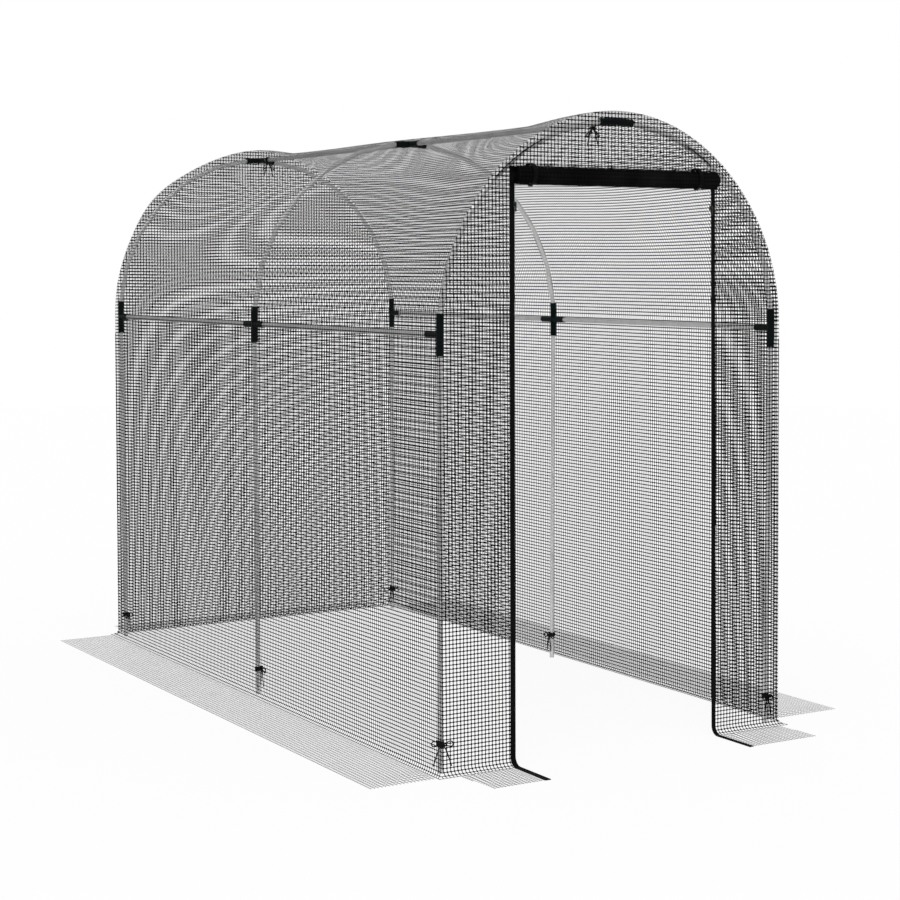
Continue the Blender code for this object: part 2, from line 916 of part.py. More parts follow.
def build_ties():
    bow = (loop_length, loop_droop, loop_width)
    near = ring_radius + knot_reach
    for station, y in STATIONS.items():
        for word, side in SIDES.items():
            centre = (side * arch_radius, y, tie_height)
            out, reach = Vector((-side, -y / half_length, 0.0)).normalized(), near
            own_bow = bow
            if (station, word) == ("front", "left"):
                corner = corner_way()
                out, reach = corner.normalized(), corner.length + fit_gap + knot_radius
            elif (station, word) == ("front", "right"):
                out = Vector((0.0, -1.0, 0.0))
                own_bow = (short_loop_length, loop_droop, loop_width)
            tie(f"tie_{station}_{word}", centre, (0.0, 0.0, 1.0), out, reach, own_bow, tail_length)
    hanging = (ridge_loop_spread, ridge_loop_length, loop_width)
    along, down = (0.0, 1.0, 0.0), (0.0, 0.0, -1.0)
    for end, y in (
        ("front", ridge_tie_front_gap - half_length),
        ("back", half_length - ridge_tie_back_gap),
    ):
        tie(f"tie_ridge_{end}", (0.0, y, ridge_height), along, down, near, hanging, ridge_tail_length)


build_tubes()
build_connectors()
build_side_nets()
build_back_net()
build_front_nets()
build_roof_net()
build_skirts()
build_zip_tapes()
build_sliders()
build_door_roll()
build_roll_straps()
build_ties()
bpy.context.view_layer.update()
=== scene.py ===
# %% [markdown]
# A walk-in fruit cage is a tent of black net over three tube arches, tall enough to stand in.
# The net keeps birds off the fruit and lets bees, light and rain through. This lesson dresses the
# bare frame: it hangs real netting on it strand by strand, sews in the zips, rolls up the door and
# ties the cover down with cord.
#
# Every piece below is placed from the sizes of that model, so nothing has to be fitted afterwards.

import math

import bmesh
import bpy
import numpy as np
from mathutils import Matrix, Vector


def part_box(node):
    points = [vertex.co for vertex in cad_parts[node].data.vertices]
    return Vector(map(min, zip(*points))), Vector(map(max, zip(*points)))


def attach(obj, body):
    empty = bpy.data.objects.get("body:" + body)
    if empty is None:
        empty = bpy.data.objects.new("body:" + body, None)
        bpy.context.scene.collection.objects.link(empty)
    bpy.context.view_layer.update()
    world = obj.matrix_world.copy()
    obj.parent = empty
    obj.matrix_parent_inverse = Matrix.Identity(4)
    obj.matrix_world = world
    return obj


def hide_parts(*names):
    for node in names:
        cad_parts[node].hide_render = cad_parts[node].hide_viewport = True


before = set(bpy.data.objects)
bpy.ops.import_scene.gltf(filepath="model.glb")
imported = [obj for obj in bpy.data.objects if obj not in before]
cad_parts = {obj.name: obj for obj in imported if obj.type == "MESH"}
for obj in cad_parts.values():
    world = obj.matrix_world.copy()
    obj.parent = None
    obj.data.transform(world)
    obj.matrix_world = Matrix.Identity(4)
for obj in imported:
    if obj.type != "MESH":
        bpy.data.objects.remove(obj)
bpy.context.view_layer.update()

# %% [markdown]
# The cage is a half barrel on two walls, so a few numbers describe all of it: how wide the arches
# are, how long the cage is, and how high the tubes start to bend. They are read from the model's
# own tubes, and the net's shape follows from them.

# %% Main sizes
MM = 0.001


def middle(node):
    low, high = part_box(node)
    return (low + high) / 2


arch_radius = middle("leg_front_right").x
half_length = middle("leg_back_right").y
ridge_height = middle("ridge_rail_front").z
tee_height = middle("side_rail_left_front").z
spring_height = ridge_height - arch_radius
tube_radius = (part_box("leg_front_right")[1].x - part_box("leg_front_right")[0].x) / 2
SIDES = {"left": -1, "right": 1}
print(f"legs {arch_radius * 2:.3f} m apart and {half_length * 2:.3f} m long, ridge at {ridge_height:.3f} m")

# %% [markdown]
# The camera stands where the photographer stood, found from the picture's vanishing points: about
# 7 m from the middle of the cage and 1.4 m up, looking a little down. The lens has no shift.

# %% Camera
camera_place = Vector((-3.36535, -5.87561, 1.43959))
camera_turn, camera_tilt, camera_roll = -0.54032, -0.09386, -0.00069
camera_lens, sensor_width = 77.34, 36.0
camera = bpy.data.objects.new("camera", bpy.data.cameras.new("camera"))
bpy.context.scene.collection.objects.link(camera)
camera.data.lens = camera_lens
camera.data.sensor_width = sensor_width
camera.matrix_world = (
    Matrix.Translation(camera_place)
    @ Matrix.Rotation(camera_turn, 4, "Z")
    @ Matrix.Rotation(math.pi / 2 + camera_tilt, 4, "X")
    @ Matrix.Rotation(camera_roll, 4, "Z")
)
bpy.context.scene.camera = camera
print(f"camera {camera_place.length:.2f} m from the middle of the cage, lens {camera_lens} mm")

# %% [markdown]
# Nodes are wired up many times in this lesson, in materials and in Geometry Nodes, so a few helpers
# come first. The main one adds a node and fills its inputs: a socket is linked and a plain value is
# typed in. Another starts a node group with named inputs and outputs.

# %% Node helpers


def add(tree, kind, inputs=None, **settings):
    """Adds a node and fills its inputs, by name or by number, with links or with values."""
    node = tree.nodes.new(kind)
    for name, value in settings.items():
        setattr(node, name, value)
    for key, value in (inputs or {}).items():
        if isinstance(value, bpy.types.NodeSocket):
            tree.links.new(value, node.inputs[key])
        else:
            node.inputs[key].default_value = value
    return node


def new_group(name, kind, inputs, outputs):
    """A node group, the sockets of its input node, and its output node."""
    tree = bpy.data.node_groups.new(name, kind)
    for label, socket, value in inputs:
        made = tree.interface.new_socket(label, in_out="INPUT", socket_type=socket)
        if value is not None:
            made.default_value = value
    for label, socket in outputs:
        tree.interface.new_socket(label, in_out="OUTPUT", socket_type=socket)
    return tree, tree.nodes.new("NodeGroupInput").outputs, tree.nodes.new("NodeGroupOutput")


def output(tree, kind, inputs=None, **settings):
    """Adds a node and gives its first output."""
    return add(tree, kind, inputs, **settings).outputs[0]


def math_node(tree, operation, *values):
    return output(tree, "ShaderNodeMath", dict(enumerate(values)), operation=operation)


def mix_colours(tree, share, one, two):
    """The Mix node keeps its colours in sockets 6 and 7, and their mix in output 2."""
    return add(tree, "ShaderNodeMix", {0: share, 6: one, 7: two}, data_type="RGBA").outputs[2]


print("helpers ready: add, output, new_group, math_node, mix_colours")

# %% [markdown]
# The picture has a pure white ground. Brighter lamps would bleach the cage, so the white comes
# from the ground itself: to the camera, and in reflections, the floor is mostly a white glow with
# a little of its lit surface mixed in, which keeps a faint shadow under the net.

# %% Floor and surroundings
WHITE = (1.0, 1.0, 1.0, 1.0)
floor_colour = (0.99, 0.99, 0.99, 1.0)
floor_radius, floor_sides = 14.0, 96
floor_drop = 0.4 * MM
shadow_share = 0.10
ambient_strength = 0.72


def seen_directly(tree):
    """1 for rays from the camera, and for those that a shiny or clear surface sends on."""
    path = add(tree, "ShaderNodeLightPath").outputs
    seen = math_node(tree, "MAXIMUM", path["Is Camera Ray"], path["Is Glossy Ray"])
    return math_node(tree, "MAXIMUM", seen, path["Is Transmission Ray"])


def floor_material():
    made = bpy.data.materials.new("white_floor")
    made.use_nodes = True
    tree = made.node_tree
    tree.nodes.clear()
    lit = output(tree, "ShaderNodeBsdfDiffuse", {"Color": floor_colour})
    glow = output(tree, "ShaderNodeEmission", {"Color": WHITE, "Strength": 1.0})
    shown = output(tree, "ShaderNodeMixShader", {0: shadow_share, 1: glow, 2: lit})
    mixed = output(tree, "ShaderNodeMixShader", {0: seen_directly(tree), 1: lit, 2: shown})
    add(tree, "ShaderNodeOutputMaterial", {"Surface": mixed})
    return made


bpy.ops.mesh.primitive_circle_add(vertices=floor_sides, radius=floor_radius, fill_type="NGON")
floor = bpy.context.object
floor.name = "floor"
floor.location.z = -floor_drop
floor.data.materials.append(floor_material())

world = bpy.data.worlds.new("studio")
bpy.context.scene.world = world
world.use_nodes = True
world.node_tree.nodes.clear()
strength = math_node(world.node_tree, "MAXIMUM", seen_directly(world.node_tree), ambient_strength)
sky = output(world.node_tree, "ShaderNodeBackground", {"Color": WHITE, "Strength": strength})
add(world.node_tree, "ShaderNodeOutputWorld", {"Surface": sky})
bpy.context.scene.view_settings.view_transform = "Standard"
print(f"floor {floor_radius * 2:.0f} m across, ambient light {ambient_strength}")

# %% [markdown]
# One large soft lamp stands in for the studio's main light, high on the camera's left. The rest
# of the light comes from all round, so a white surface in the open renders just under white.

# %% Main light
lamp_strength = 0.9
lamp_spread = 40.0
lamp_side = Vector((-0.45, -0.5, 1.0))
lamp = bpy.data.objects.new("main_light", bpy.data.lights.new("main_light", "SUN"))
lamp.data.energy = lamp_strength
lamp.data.angle = math.radians(lamp_spread)
lamp.matrix_world = lamp_side.to_track_quat("Z", "Y").to_matrix().to_4x4()
bpy.context.scene.collection.objects.link(lamp)
print(f"main light {lamp_strength} W/m2, {lamp_spread:.0f} degrees wide")

# %% [markdown]
# No finish is one flat colour. Dust settles in patches, and moulded plastic, rolled steel and
# woven tape all have a fine grain. These effects are shared by several materials, so each is a
# small shader group with its own named values. They read Object coordinates, which stay put on a
# piece however it moves.

# %% Shared shader groups
COLOUR, NUMBER = "NodeSocketColor", "NodeSocketFloat"
patch_range = {"From Min": 0.42, "From Max": 0.72}
fine_share = 0.35


def dusty_group():
    """A colour with soft patches of dust or wear on it."""
    tree, given, out = new_group(
        "dusty",
        "ShaderNodeTree",
        [("Colour", COLOUR, None), ("Dust", COLOUR, None), ("Amount", NUMBER, 0.2), ("Scale", NUMBER, 30.0)],
        [("Colour", COLOUR), ("Mask", NUMBER)],
    )
    place = add(tree, "ShaderNodeTexCoord").outputs["Object"]
    noise = output(tree, "ShaderNodeTexNoise", {"Vector": place, "Scale": given["Scale"], "Detail": 5.0})
    patch = output(tree, "ShaderNodeMapRange", {"Value": noise, **patch_range}, clamp=True)
    mask = math_node(tree, "MULTIPLY", patch, given["Amount"])
    mixed = mix_colours(tree, mask, given["Colour"], given["Dust"])
    tree.links.new(mixed, out.inputs["Colour"])
    tree.links.new(mask, out.inputs["Mask"])
    return tree


def grain_group():
    """The height of a fine even grain, with longer and lower waves under it."""
    tree, given, out = new_group(
        "grain",
        "ShaderNodeTree",
        [("Scale", NUMBER, 900.0), ("Waves", NUMBER, 60.0)],
        [("Height", NUMBER)],
    )
    place = add(tree, "ShaderNodeTexCoord").outputs["Object"]
    fine = output(tree, "ShaderNodeTexNoise", {"Vector": place, "Scale": given["Scale"], "Detail": 2.0})
    wide = output(tree, "ShaderNodeTexNoise", {"Vector": place, "Scale": given["Waves"], "Detail": 1.0})
    height = math_node(tree, "MULTIPLY_ADD", fine, fine_share, wide)
    tree.links.new(height, out.inputs["Height"])
    return tree


dusty = dusty_group()
grain = grain_group()
print("shader groups:", dusty.name, grain.name)

# %% Material helpers


def finish(name, colour, roughness, metallic=0.0, specular=0.5):
    """A material with a Principled BSDF, its node tree and the shader's inputs."""
    made = bpy.data.materials.new(name)
    made.use_nodes = True
    shader = made.node_tree.nodes["Principled BSDF"]
    shader.inputs["Base Color"].default_value = (*colour, 1.0)
    shader.inputs["Roughness"].default_value = roughness
    shader.inputs["Metallic"].default_value = metallic
    shader.inputs["Specular IOR Level"].default_value = specular
    return made, made.node_tree, shader.inputs


def use_group(tree, group, **values):
    node = tree.nodes.new("ShaderNodeGroup")
    node.node_tree = group
    for name, value in values.items():
        node.inputs[name].default_value = (*value, 1.0) if isinstance(value, tuple) else value
    return node.outputs


def bump(tree, inputs, height, distance, strength):
    normal = output(tree, "ShaderNodeBump", {"Height": height, "Distance": distance, "Strength": strength})
    tree.links.new(normal, inputs["Normal"])


def grained(tree, inputs, scale, waves, depth, strength):
    height = use_group(tree, grain, Scale=scale, Waves=waves)["Height"]
    bump(tree, inputs, height, depth, strength)


def weathered(tree, inputs, colour, dust, amount, scale):
    """Dusty patches on the colour. It gives their mask too."""
    worn = use_group(tree, dusty, Colour=colour, Dust=dust, Amount=amount, Scale=scale)
    tree.links.new(worn["Colour"], inputs["Base Color"])
    return worn["Mask"]


def paint(nodes, material):
    """Gives solids of the construction model a finish."""
    for node in nodes:
        node.data.materials.clear()
        node.data.materials.append(material)


print("material helpers ready: finish, use_group, bump, grained, weathered, paint")

# %% [markdown]
# The tubes are galvanised steel: a thin zinc coat with cloudy patches, fine lines drawn along the
# tube when it was rolled, and a soft sheen. The patches are cells of slightly unlike grey. A tube
# mirrors what lies beside it at its edges, and in a net tent that is dark, so the zinc is darkened
# where it turns away from the eye.

# %% Galvanised tube
edge_colour, edge_darkening = (0.10, 0.10, 0.10, 1.0), 0.75
cloud_range = {"To Min": 0.72, "To Max": 0.86}
sheen_range = {"To Min": 0.30, "To Max": 0.42}


def tube_material():
    made, tree, inputs = finish("galvanised_tube", (0.80, 0.81, 0.81), 0.36, metallic=0.5)
    place = add(tree, "ShaderNodeTexCoord").outputs["Object"]
    cells = add(tree, "ShaderNodeTexVoronoi", {"Vector": place, "Scale": 95.0}).outputs["Color"]
    cloudy = output(tree, "ShaderNodeMapRange", {"Value": cells, **cloud_range})
    worn = use_group(tree, dusty, Dust=(0.58, 0.58, 0.57), Amount=0.5, Scale=14.0)
    tree.links.new(cloudy, worn[0].node.inputs["Colour"])
    turned = add(tree, "ShaderNodeLayerWeight", {"Blend": 0.35}).outputs["Facing"]
    edge = math_node(tree, "MULTIPLY", turned, edge_darkening)
    tree.links.new(mix_colours(tree, edge, worn["Colour"], edge_colour), inputs["Base Color"])
    rough = output(tree, "ShaderNodeMapRange", {"Value": cells, **sheen_range})
    tree.links.new(rough, inputs["Roughness"])
    grained(tree, inputs, scale=700.0, waves=90.0, depth=0.05 * MM, strength=0.5)
    return made


galvanised = tube_material()
print("material:", galvanised.name)

# %% [markdown]
# The connectors are moulded in a black plastic with a breath of green, as the photograph shows
# where light falls on a rail arm. Their skin has a fine spark-eroded texture, and dust dulls it
# in places.

# %% Moulded plastic
clean_roughness, dust_roughness = 0.42, 0.25


def plastic_material():
    made, tree, inputs = finish("connector_plastic", (0.002, 0.007, 0.0065), 0.45, specular=0.06)
    mask = weathered(tree, inputs, (0.0015, 0.0055, 0.0055), (0.005, 0.013, 0.013), amount=0.6, scale=26.0)
    rough = math_node(tree, "MULTIPLY_ADD", mask, dust_roughness, clean_roughness)
    tree.links.new(rough, inputs["Roughness"])
    grained(tree, inputs, scale=1400.0, waves=120.0, depth=0.08 * MM, strength=0.6)
    return made


def solids(*starts):
    return [node for name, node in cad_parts.items() if name.startswith(starts)]


moulded = plastic_material()
tubes = solids("leg_", "arch_", "side_rail_", "ridge_rail_")
connectors = solids("tee_", "cross_", "ridge_tee_", "ridge_cross_")
paint(tubes, galvanised)
paint(connectors, moulded)
print(f"{len(tubes)} tubes and {len(connectors)} connectors have their finish")

# %% [markdown]
# Strands of net, zip teeth and stitches repeat thousands of times, so Geometry Nodes make them
# from a light guide mesh. This helper gives the guide to a tree, sets the tree's named inputs and
# takes the result as a plain mesh. Without a tree it makes a mesh of a curve. A second one stands
# the finished piece in the scene, where it stands for a plain solid of the construction model.

# %% Growing and placing pieces


def grown(guide, tree=None, **values):
    """The plain mesh of a guide, or the one that a Geometry Nodes tree makes from it."""
    helper = bpy.data.objects.new("guide", guide)
    bpy.context.scene.collection.objects.link(helper)
    if tree:
        modifier = helper.modifiers.new("Grow", "NODES")
        modifier.node_group = tree
        for item in tree.interface.items_tree:
            label = item.name.replace(" ", "_").lower()
            if item.in_out == "INPUT" and label in values:
                modifier[item.identifier] = values[label]
    graph = bpy.context.evaluated_depsgraph_get()
    made = bpy.data.meshes.new_from_object(
        helper.evaluated_get(graph), preserve_all_data_layers=True, depsgraph=graph
    )
    bpy.data.objects.remove(helper)
    return made


def place_piece(name, shape, slot, node, material=None):
    piece = bpy.data.objects.new(name, shape)
    bpy.context.scene.collection.objects.link(piece)
    if material:
        paint([piece], material)
    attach(piece, "cage")
    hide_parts(node)
    return piece


print("helpers ready: grown, place_piece")

# %% [markdown]
# Where does the net lie? On the walls it stands out a little more towards the ground, because the
# skirts pull it outwards. Over the arches it lies on the ridge connectors, rises into a lip at both ends
# where it is gathered over the outer arches, and sinks a little between two arches. These functions
# say so for any point at once, with numpy, and are the ones the construction uses. Only the last
# thing is added here: over the back arch the net puffs up on the left shoulder and on the crown.

# %% The cover's shape
side_offset = 14.5 * MM
net_wall = 2.0 * MM
ridge_offset = tube_radius + 4.3 * MM
crown_lift = 17.5 * MM
lift_run = 360.0 * MM
bay_dip = 18.0 * MM
back_swells = {math.radians(136.0): 14.0 * MM, math.radians(90.0): 11.0 * MM}
swell_run = math.radians(13.0)
base_out = {-1: 2.0 * MM, 1: 4.0 * MM}
base_out_end = 26.0 * MM
cover_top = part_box("zip_tape_left")[1].z
half_net = net_wall / 2


def eased(share):
    share = np.clip(share, 0.0, 1.0)
    return share * share * (3 - 2 * share)


def end_distance(z):
    """How far the front or back net stands from the middle of the cage."""
    return half_length + side_offset + base_out_end * np.maximum(0.0, 1 - z / cover_top)


def side_distance(side, z):
    return arch_radius + side_offset + base_out[side] * np.maximum(0.0, 1 - z / tee_height)


def roof_radius(angle, y):
    rise = np.sin(angle)
    offset = side_offset + (ridge_offset - side_offset) * rise * rise
    near_end = eased((np.abs(y) - (half_length - lift_run)) / lift_run)
    lift = crown_lift * near_end * rise**4
    bay = np.sin(math.pi * np.minimum(1.0, np.abs(y) / half_length))
    dip = bay_dip * bay * bay * np.abs(np.sin(2 * angle))
    near_back = eased((y - (half_length - lift_run)) / lift_run)
    swells = [height * np.exp(-(((angle - at) / swell_run) ** 2)) for at, height in back_swells.items()]
    return arch_radius + offset + lift - dip + sum(swells) * near_back


reach = half_length + side_offset + half_net


def stretched(y, z):
    """The walls fan out a little towards the ground, so that their ends meet the end nets."""
    return y * (end_distance(z) + half_net) / reach


ground_out, top_out = float(end_distance(0.0)), float(end_distance(cover_top))
print(f"end nets stand {ground_out:.4f} m out at the ground, {top_out:.4f} at the top")

# %% [markdown]
# Eight short cords tie the cover to the frame: six low on the legs and two under the ridge. Each is
# wound four times round its tube and tied in a fat bow. The turns and the knot are one piece, and
# the two loops and two ends are free cords. A loop is a teardrop, because limp cord doesn't bend
# sharply. Under the ridge the loops hang half turned round, as the picture shows.

# %% Tie cords
cord_diameter = 3.7 * MM
cord_gap = 0.3 * MM
ring_radius = tube_radius + cord_gap + cord_diameter / 2
knot_radius = 4.5 * MM
knot_size = (12.0 * MM, 8.5 * MM)
knot_reach = 3.0 * MM
tie_height = 87.0 * MM
loop_width = 15.2 * MM
turn_spacing = 3.8 * MM
turn_count = 4
turn_steps, loop_steps, knot_steps, tail_steps = 18, 14, 48, 12
tail_curve = 0.65
ridge_twist = math.radians(-42.0)
DOWN = Vector((0.0, 0.0, -1.0))


def cord_material():
    made, tree, inputs = finish("tie_cord", (0.004, 0.004, 0.0042), 0.6, specular=0.1)
    grained(tree, inputs, scale=1100.0, waves=300.0, depth=0.3 * MM, strength=0.8)
    return made


tie_cord = cord_material()


def cord_curve(name, runs):
    """A curve with one round strand along each run of points."""
    curve = bpy.data.curves.new(name, "CURVE")
    curve.dimensions = "3D"
    curve.bevel_depth = cord_diameter / 2
    curve.bevel_resolution = 2
    curve.use_fill_caps = True
    curve.materials.append(tie_cord)
    for points in runs:
        spline = curve.splines.new("POLY")
        spline.points.add(len(points) - 1)
        for slot, point in zip(spline.points, points):
            slot.co = (*point, 1.0)
    return curve


def free_cord(name, points, node):
    piece = place_piece(name, cord_curve(name, [points]), "cord", node)
    length = sum((b - a).length for a, b in zip(points, points[1:]))
    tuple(points[0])
    return length


def teardrop(start, along, wide):
    """A loop that leaves a point and comes back to it, round a half circle at its far end."""
    radius = loop_width / 2
    centre = along.length - radius
    slant = math.asin(radius / centre)
    ahead = along.normalized()
    points = [start]
    for k in range(loop_steps + 1):
        turn = (math.pi / 2 + slant) * (1 - 2 * k / loop_steps)
        points.append(start + ahead * (centre + radius * math.cos(turn)) + wide * radius * math.sin(turn))
    return points + [start + ahead * cord_diameter - wide * cord_diameter / 2]


def knot_line(centre, out, across):
    """A closed trefoil, pressed flat against the tube: the two crossed turns of the bow's knot."""
    up = out.cross(across)
    wide, tall = knot_size
    points = []
    for k in range(knot_steps + 1):
        turn = 2 * math.pi * k / knot_steps
        spread = (2 + math.cos(3 * turn)) / 3
        flat = across * math.cos(2 * turn) * wide + up * math.sin(2 * turn) * tall
        points.append(centre + flat * spread + out * knot_reach * math.sin(3 * turn) / 2)
    return points


def tie(name, centre, axis, out, reach, bow, tails, rise=0.0):
    """Winds a cord round a tube and ties it. tails is the ends' length and how far they spread."""
    across, knot = axis.cross(out), centre + out * reach - DOWN * rise
    turns = []
    steps = turn_steps * turn_count
    for k in range(steps + 1):
        turn = 2 * math.pi * turn_count * k / steps
        flat = out * math.cos(turn) + across * math.sin(turn)
        turns.append(centre + flat * ring_radius + axis * turn_spacing * (k / steps - 1 / 2) * turn_count)
    link = [centre + out * ring_radius, knot]
    wound = cord_curve(name, [turns, link, knot_line(knot, out, across)])
    place_piece(f"{name}_knot", grown(wound), "cord", name)
    (sideways, drop), (tail, spread) = bow, tails
    total = 0.0
    for word, side in SIDES.items():
        along = across * side * sideways + DOWN * drop
        wide = along.normalized().cross(axis if out == DOWN else out)
        if out == DOWN:
            wide = Matrix.Rotation(ridge_twist, 3, along) @ wide
        total += free_cord(f"{name}_loop_{word}", teardrop(knot, along, wide), name)
        shares = [k / tail_steps for k in range(tail_steps + 1)]
        points = [knot + DOWN * tail * s + across * side * spread * s**tail_curve for s in shares]
        total += free_cord(f"{name}_end_{word}", points, name)
    print(f"{name}: {total * 1000:.0f} mm of cord in the bow")


leg_bow, leg_tails = (31.0 * MM, 6.0 * MM), (62.0 * MM, 12.0 * MM)
corner_bow, corner_tails, corner_rise = (31.0 * MM, -3.0 * MM), (62.0 * MM, 26.0 * MM), 8.0 * MM
short_bow = (19.0 * MM, 7.0 * MM)
ridge_bow, ridge_tails = (24.0 * MM, 23.0 * MM), (52.0 * MM, 20.0 * MM)
near_reach = ring_radius + knot_reach
corner_x = arch_radius - side_distance(-1, tie_height) - half_net
corner_y = half_length - end_distance(tie_height) - half_net
corner = Vector((corner_x, corner_y, 0.0))
for station, y in (("front", -half_length), ("middle", 0.0), ("back", half_length)):
    for word, side in SIDES.items():
        out, reach_out, bow = Vector((-side, -y / half_length, 0.0)).normalized(), near_reach, leg_bow
        tails, rise = leg_tails, 0.0
        if (station, word) == ("front", "left"):
            out, reach_out = corner.normalized(), corner.length + cord_gap + knot_radius
            bow, tails, rise = corner_bow, corner_tails, corner_rise
        elif (station, word) == ("front", "right"):
            out, bow = Vector((0.0, -1.0, 0.0)), short_bow
        foot_point = Vector((side * arch_radius, y, tie_height))
        tie(f"tie_{station}_{word}", foot_point, -DOWN, out, reach_out, bow, tails, rise)
for end in ("front", "back"):
    point, along = Vector((0.0, middle(f"tie_ridge_{end}").y, ridge_height)), Vector((0.0, 1.0, 0.0))
    tie(f"tie_ridge_{end}", point, along, DOWN, near_reach, ridge_bow, ridge_tails)

# %% [markdown]
# The netting is knitted: flat black ribbons cross every 12 mm, with a square dense knot at each
# crossing. Pictures of a net on a flat plane would look thin from the side, so every strand is
# built. The guide mesh holds one line for each strand and one loose point for each crossing.
# Geometry Nodes turn the lines into ribbons and set a knot on each loose point.

# %% Net tree
net_pitch = 11.8 * MM
ribbon_width, ribbon_thickness = 2.6 * MM, 0.06 * MM
knot_width, knot_thickness = 7.2 * MM, 0.16 * MM
knot_shape = {"Segments": 4, "Rings": 2, "Radius": 0.5}
knot_turn = (0.0, 0.0, math.pi / 4)
GEOMETRY = "NodeSocketGeometry"


def level_lines(tree, guide):
    """Curves along the edges of a guide mesh, with their flat side level."""
    lines = output(tree, "GeometryNodeMeshToCurve", {0: guide})
    return output(tree, "GeometryNodeSetCurveNormal", {0: lines}, mode="Z_UP")


def set_on(tree, points, shape, **settings):
    """A shape on each point, made real."""
    inputs = {"Points": points, "Instance": shape, **settings}
    placed = output(tree, "GeometryNodeInstanceOnPoints", inputs)
    return output(tree, "GeometryNodeRealizeInstances", {0: placed})


def coat(tree, geometry, given, out):
    """Gives a group's result its finish, and sends it out."""
    inputs = {"Geometry": geometry, "Material": given["Finish"]}
    tree.links.new(output(tree, "GeometryNodeSetMaterial", inputs), out.inputs[0])


def net_tree():
    tree, given, out = new_group(
        "net_strands",
        "GeometryNodeTree",
        [
            ("Guide", GEOMETRY, None),
            ("Ribbon Width", NUMBER, ribbon_width),
            ("Ribbon Thickness", NUMBER, ribbon_thickness),
            ("Knot Width", NUMBER, knot_width),
            ("Knot Thickness", NUMBER, knot_thickness),
            ("Finish", "NodeSocketMaterial", None),
        ],
        [("Net", GEOMETRY)],
    )
    neighbours = output(tree, "GeometryNodeInputMeshVertexNeighbors")
    lonely = output(tree, "FunctionNodeCompare", {2: neighbours, 3: 0}, data_type="INT", operation="EQUAL")
    parted = add(tree, "GeometryNodeSeparateGeometry", {0: given["Guide"], 1: lonely}).outputs
    lines = level_lines(tree, parted["Inverted"])
    length = add(tree, "GeometryNodeSplineParameter").outputs["Length"]
    inputs = {"Geometry": lines, "Name": "along", "Value": length}
    marked = output(tree, "GeometryNodeStoreNamedAttribute", inputs, data_type="FLOAT", domain="POINT")
    inputs = {"Width": given["Ribbon Width"], "Height": given["Ribbon Thickness"]}
    profile = output(tree, "GeometryNodeCurvePrimitiveQuadrilateral", inputs)
    inputs = {"Curve": marked, "Profile Curve": profile, "Fill Caps": True}
    ribbons = output(tree, "GeometryNodeCurveToMesh", inputs)
    ball = output(tree, "GeometryNodeMeshUVSphere", knot_shape)
    inputs = {0: given["Knot Width"], 1: given["Knot Width"], 2: given["Knot Thickness"]}
    size = output(tree, "ShaderNodeCombineXYZ", inputs)
    joined = add(tree, "GeometryNodeJoinGeometry")
    tree.links.new(ribbons, joined.inputs[0])
    knots = set_on(tree, parted["Selection"], ball, Scale=size, Rotation=knot_turn)
    tree.links.new(knots, joined.inputs[0])
    coat(tree, joined.outputs[0], given, out)
    return tree


net_maker = net_tree()
print(f"net of {ribbon_width / MM:.1f} mm ribbons every {net_pitch / MM:.1f} mm")

# %% [markdown]
# The net's plastic is black all through, but not dead black: sun and rain leave it slightly grey
# in places, and the knitted loops catch the light every few millimetres along a strand. The
# strands carry their own length as an attribute, which drives that ripple. A second finish is for
# the skirts, which are worn thin and lie on the ground. Its lighter grey is painted sheen, standing
# for light from above on the flat strands, with patches of dust on it.
#
# How dark a panel looks depends on how wide its ribbons are, because the rest is air. The widths
# were matched to the picture: the net is tight on the right wall and slack over the roof.

# %% Net material
loop_pitch = 2.4 * MM


def knit_group():
    """The ripple of knitted loops along a strand, from the strand's own length."""
    tree, given, out = new_group(
        "knit", "ShaderNodeTree", [("Pitch", NUMBER, loop_pitch)], [("Height", NUMBER)]
    )
    along = add(tree, "ShaderNodeAttribute", attribute_name="along").outputs["Fac"]
    turns = math_node(tree, "DIVIDE", along, given["Pitch"])
    wave = math_node(tree, "SINE", math_node(tree, "MULTIPLY", turns, 2 * math.pi))
    height = math_node(tree, "MULTIPLY_ADD", wave, 0.5, 0.5)
    tree.links.new(height, out.inputs["Height"])
    return tree


knit = knit_group()


def net_material(name, colour, dust, specular):
    made, tree, inputs = finish(name, colour, 0.34, specular=specular)
    weathered(tree, inputs, colour, dust, amount=0.7, scale=9.0)
    loops = use_group(tree, knit, Pitch=loop_pitch)
    bump(tree, inputs, loops["Height"], distance=0.12 * MM, strength=0.5)
    return made


black_net = net_material("black_net", (0.006, 0.006, 0.0065), (0.016, 0.016, 0.0155), 0.0)
# The skirts' lighter grey is painted sheen for light from above on strands lying flat, with dust patches.
dusty_net = net_material("dusty_net", (0.055, 0.055, 0.055), (0.17, 0.17, 0.165), 0.3)
new_yarn = {
    "ribbon_width": ribbon_width,
    "ribbon_thickness": ribbon_thickness,
    "knot_width": knot_width,
    "knot_thickness": knot_thickness,
    "finish": black_net,
}
wide_yarn = {**new_yarn, "ribbon_width": 2.9 * MM}
slack_yarn = {**new_yarn, "ribbon_width": 2.15 * MM}
worn_sheen_yarn = {**new_yarn, "ribbon_width": 2.3 * MM, "knot_width": 4.6 * MM, "finish": dusty_net}
front_yarn = {**worn_sheen_yarn, "ribbon_width": ribbon_width}
print(f"net materials: {black_net.name} and {dusty_net.name}")

# %% [markdown]
# Each panel is cut from the same netting. A panel is described by its flat outline: how high it
# runs, and where its left and right edges are at each height. The strands keep to one grid, so the
# pattern runs on from a wall into the roof. A strand across that would lie within a tenth of a
# pitch of the lower edge is left out, because it belongs to the panel below.

# %% Cutting a panel
edge_share = 0.1
outline_steps = 800


def guide_mesh(places, edges):
    mesh = bpy.data.meshes.new("guide")
    mesh.from_pydata(places, edges, [])
    return mesh


